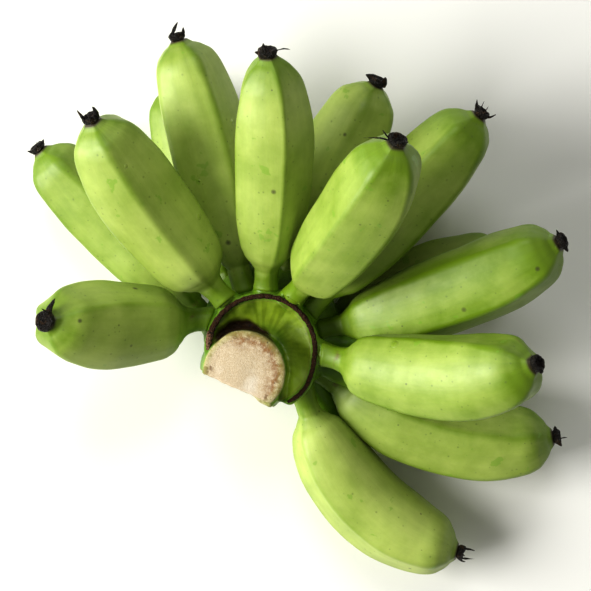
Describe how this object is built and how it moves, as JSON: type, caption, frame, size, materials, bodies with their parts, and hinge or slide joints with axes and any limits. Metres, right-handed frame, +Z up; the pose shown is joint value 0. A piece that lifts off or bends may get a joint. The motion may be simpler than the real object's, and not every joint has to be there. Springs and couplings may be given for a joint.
{
  "type": "bunch of bananas",
  "caption": "Hand of short, thick green bananas growing in rows round a cut crown, lying with its stalk up and its dried flower ends spread out.",
  "frame": {"origin": "on the surface that the hand lies on, under the middle of its outline", "axes": "+Z up, away from the surface; +X towards the side that has most fingers; the cut stalk is at the -X, -Y side of the middle"},
  "size_m": [0.276, 0.279, 0.1521],
  "materials": {
    "banana_skin": "unripe banana skin, green and slightly waxy",
    "crown_skin": "green stalk tissue with a tan, fibrous cut face",
    "dry_rim": "dry, corky, dark brown",
    "dry_flower": "shrivelled, nearly black"
  },
  "bodies": {
    "root": {"crown_with_stalk": "crown_skin", "dry_rim": "dry_rim", "banana_upper_01": "banana_skin", "banana_upper_02": "banana_skin", "banana_upper_03": "banana_skin", "banana_upper_04": "banana_skin", "banana_upper_05": "banana_skin", "banana_upper_06": "banana_skin", "banana_upper_07": "banana_skin", "banana_upper_08": "banana_skin", "banana_upper_09": "banana_skin", "banana_upper_10": "banana_skin", "banana_lower_01": "banana_skin", "banana_lower_02": "banana_skin", "banana_lower_03": "banana_skin", "banana_lower_04": "banana_skin", "banana_lower_05": "banana_skin", "flower_end_upper_01": "dry_flower", "flower_end_upper_02": "dry_flower", "flower_end_upper_03": "dry_flower", "flower_end_upper_04": "dry_flower", "flower_end_upper_05": "dry_flower", "flower_end_upper_06": "dry_flower", "flower_end_upper_07": "dry_flower", "flower_end_upper_08": "dry_flower", "flower_end_upper_09": "dry_flower", "flower_end_upper_10": "dry_flower", "flower_end_lower_01": "dry_flower", "flower_end_lower_02": "dry_flower", "flower_end_lower_03": "dry_flower", "flower_end_lower_04": "dry_flower", "flower_end_lower_05": "dry_flower"}
  },
  "joints": []
}
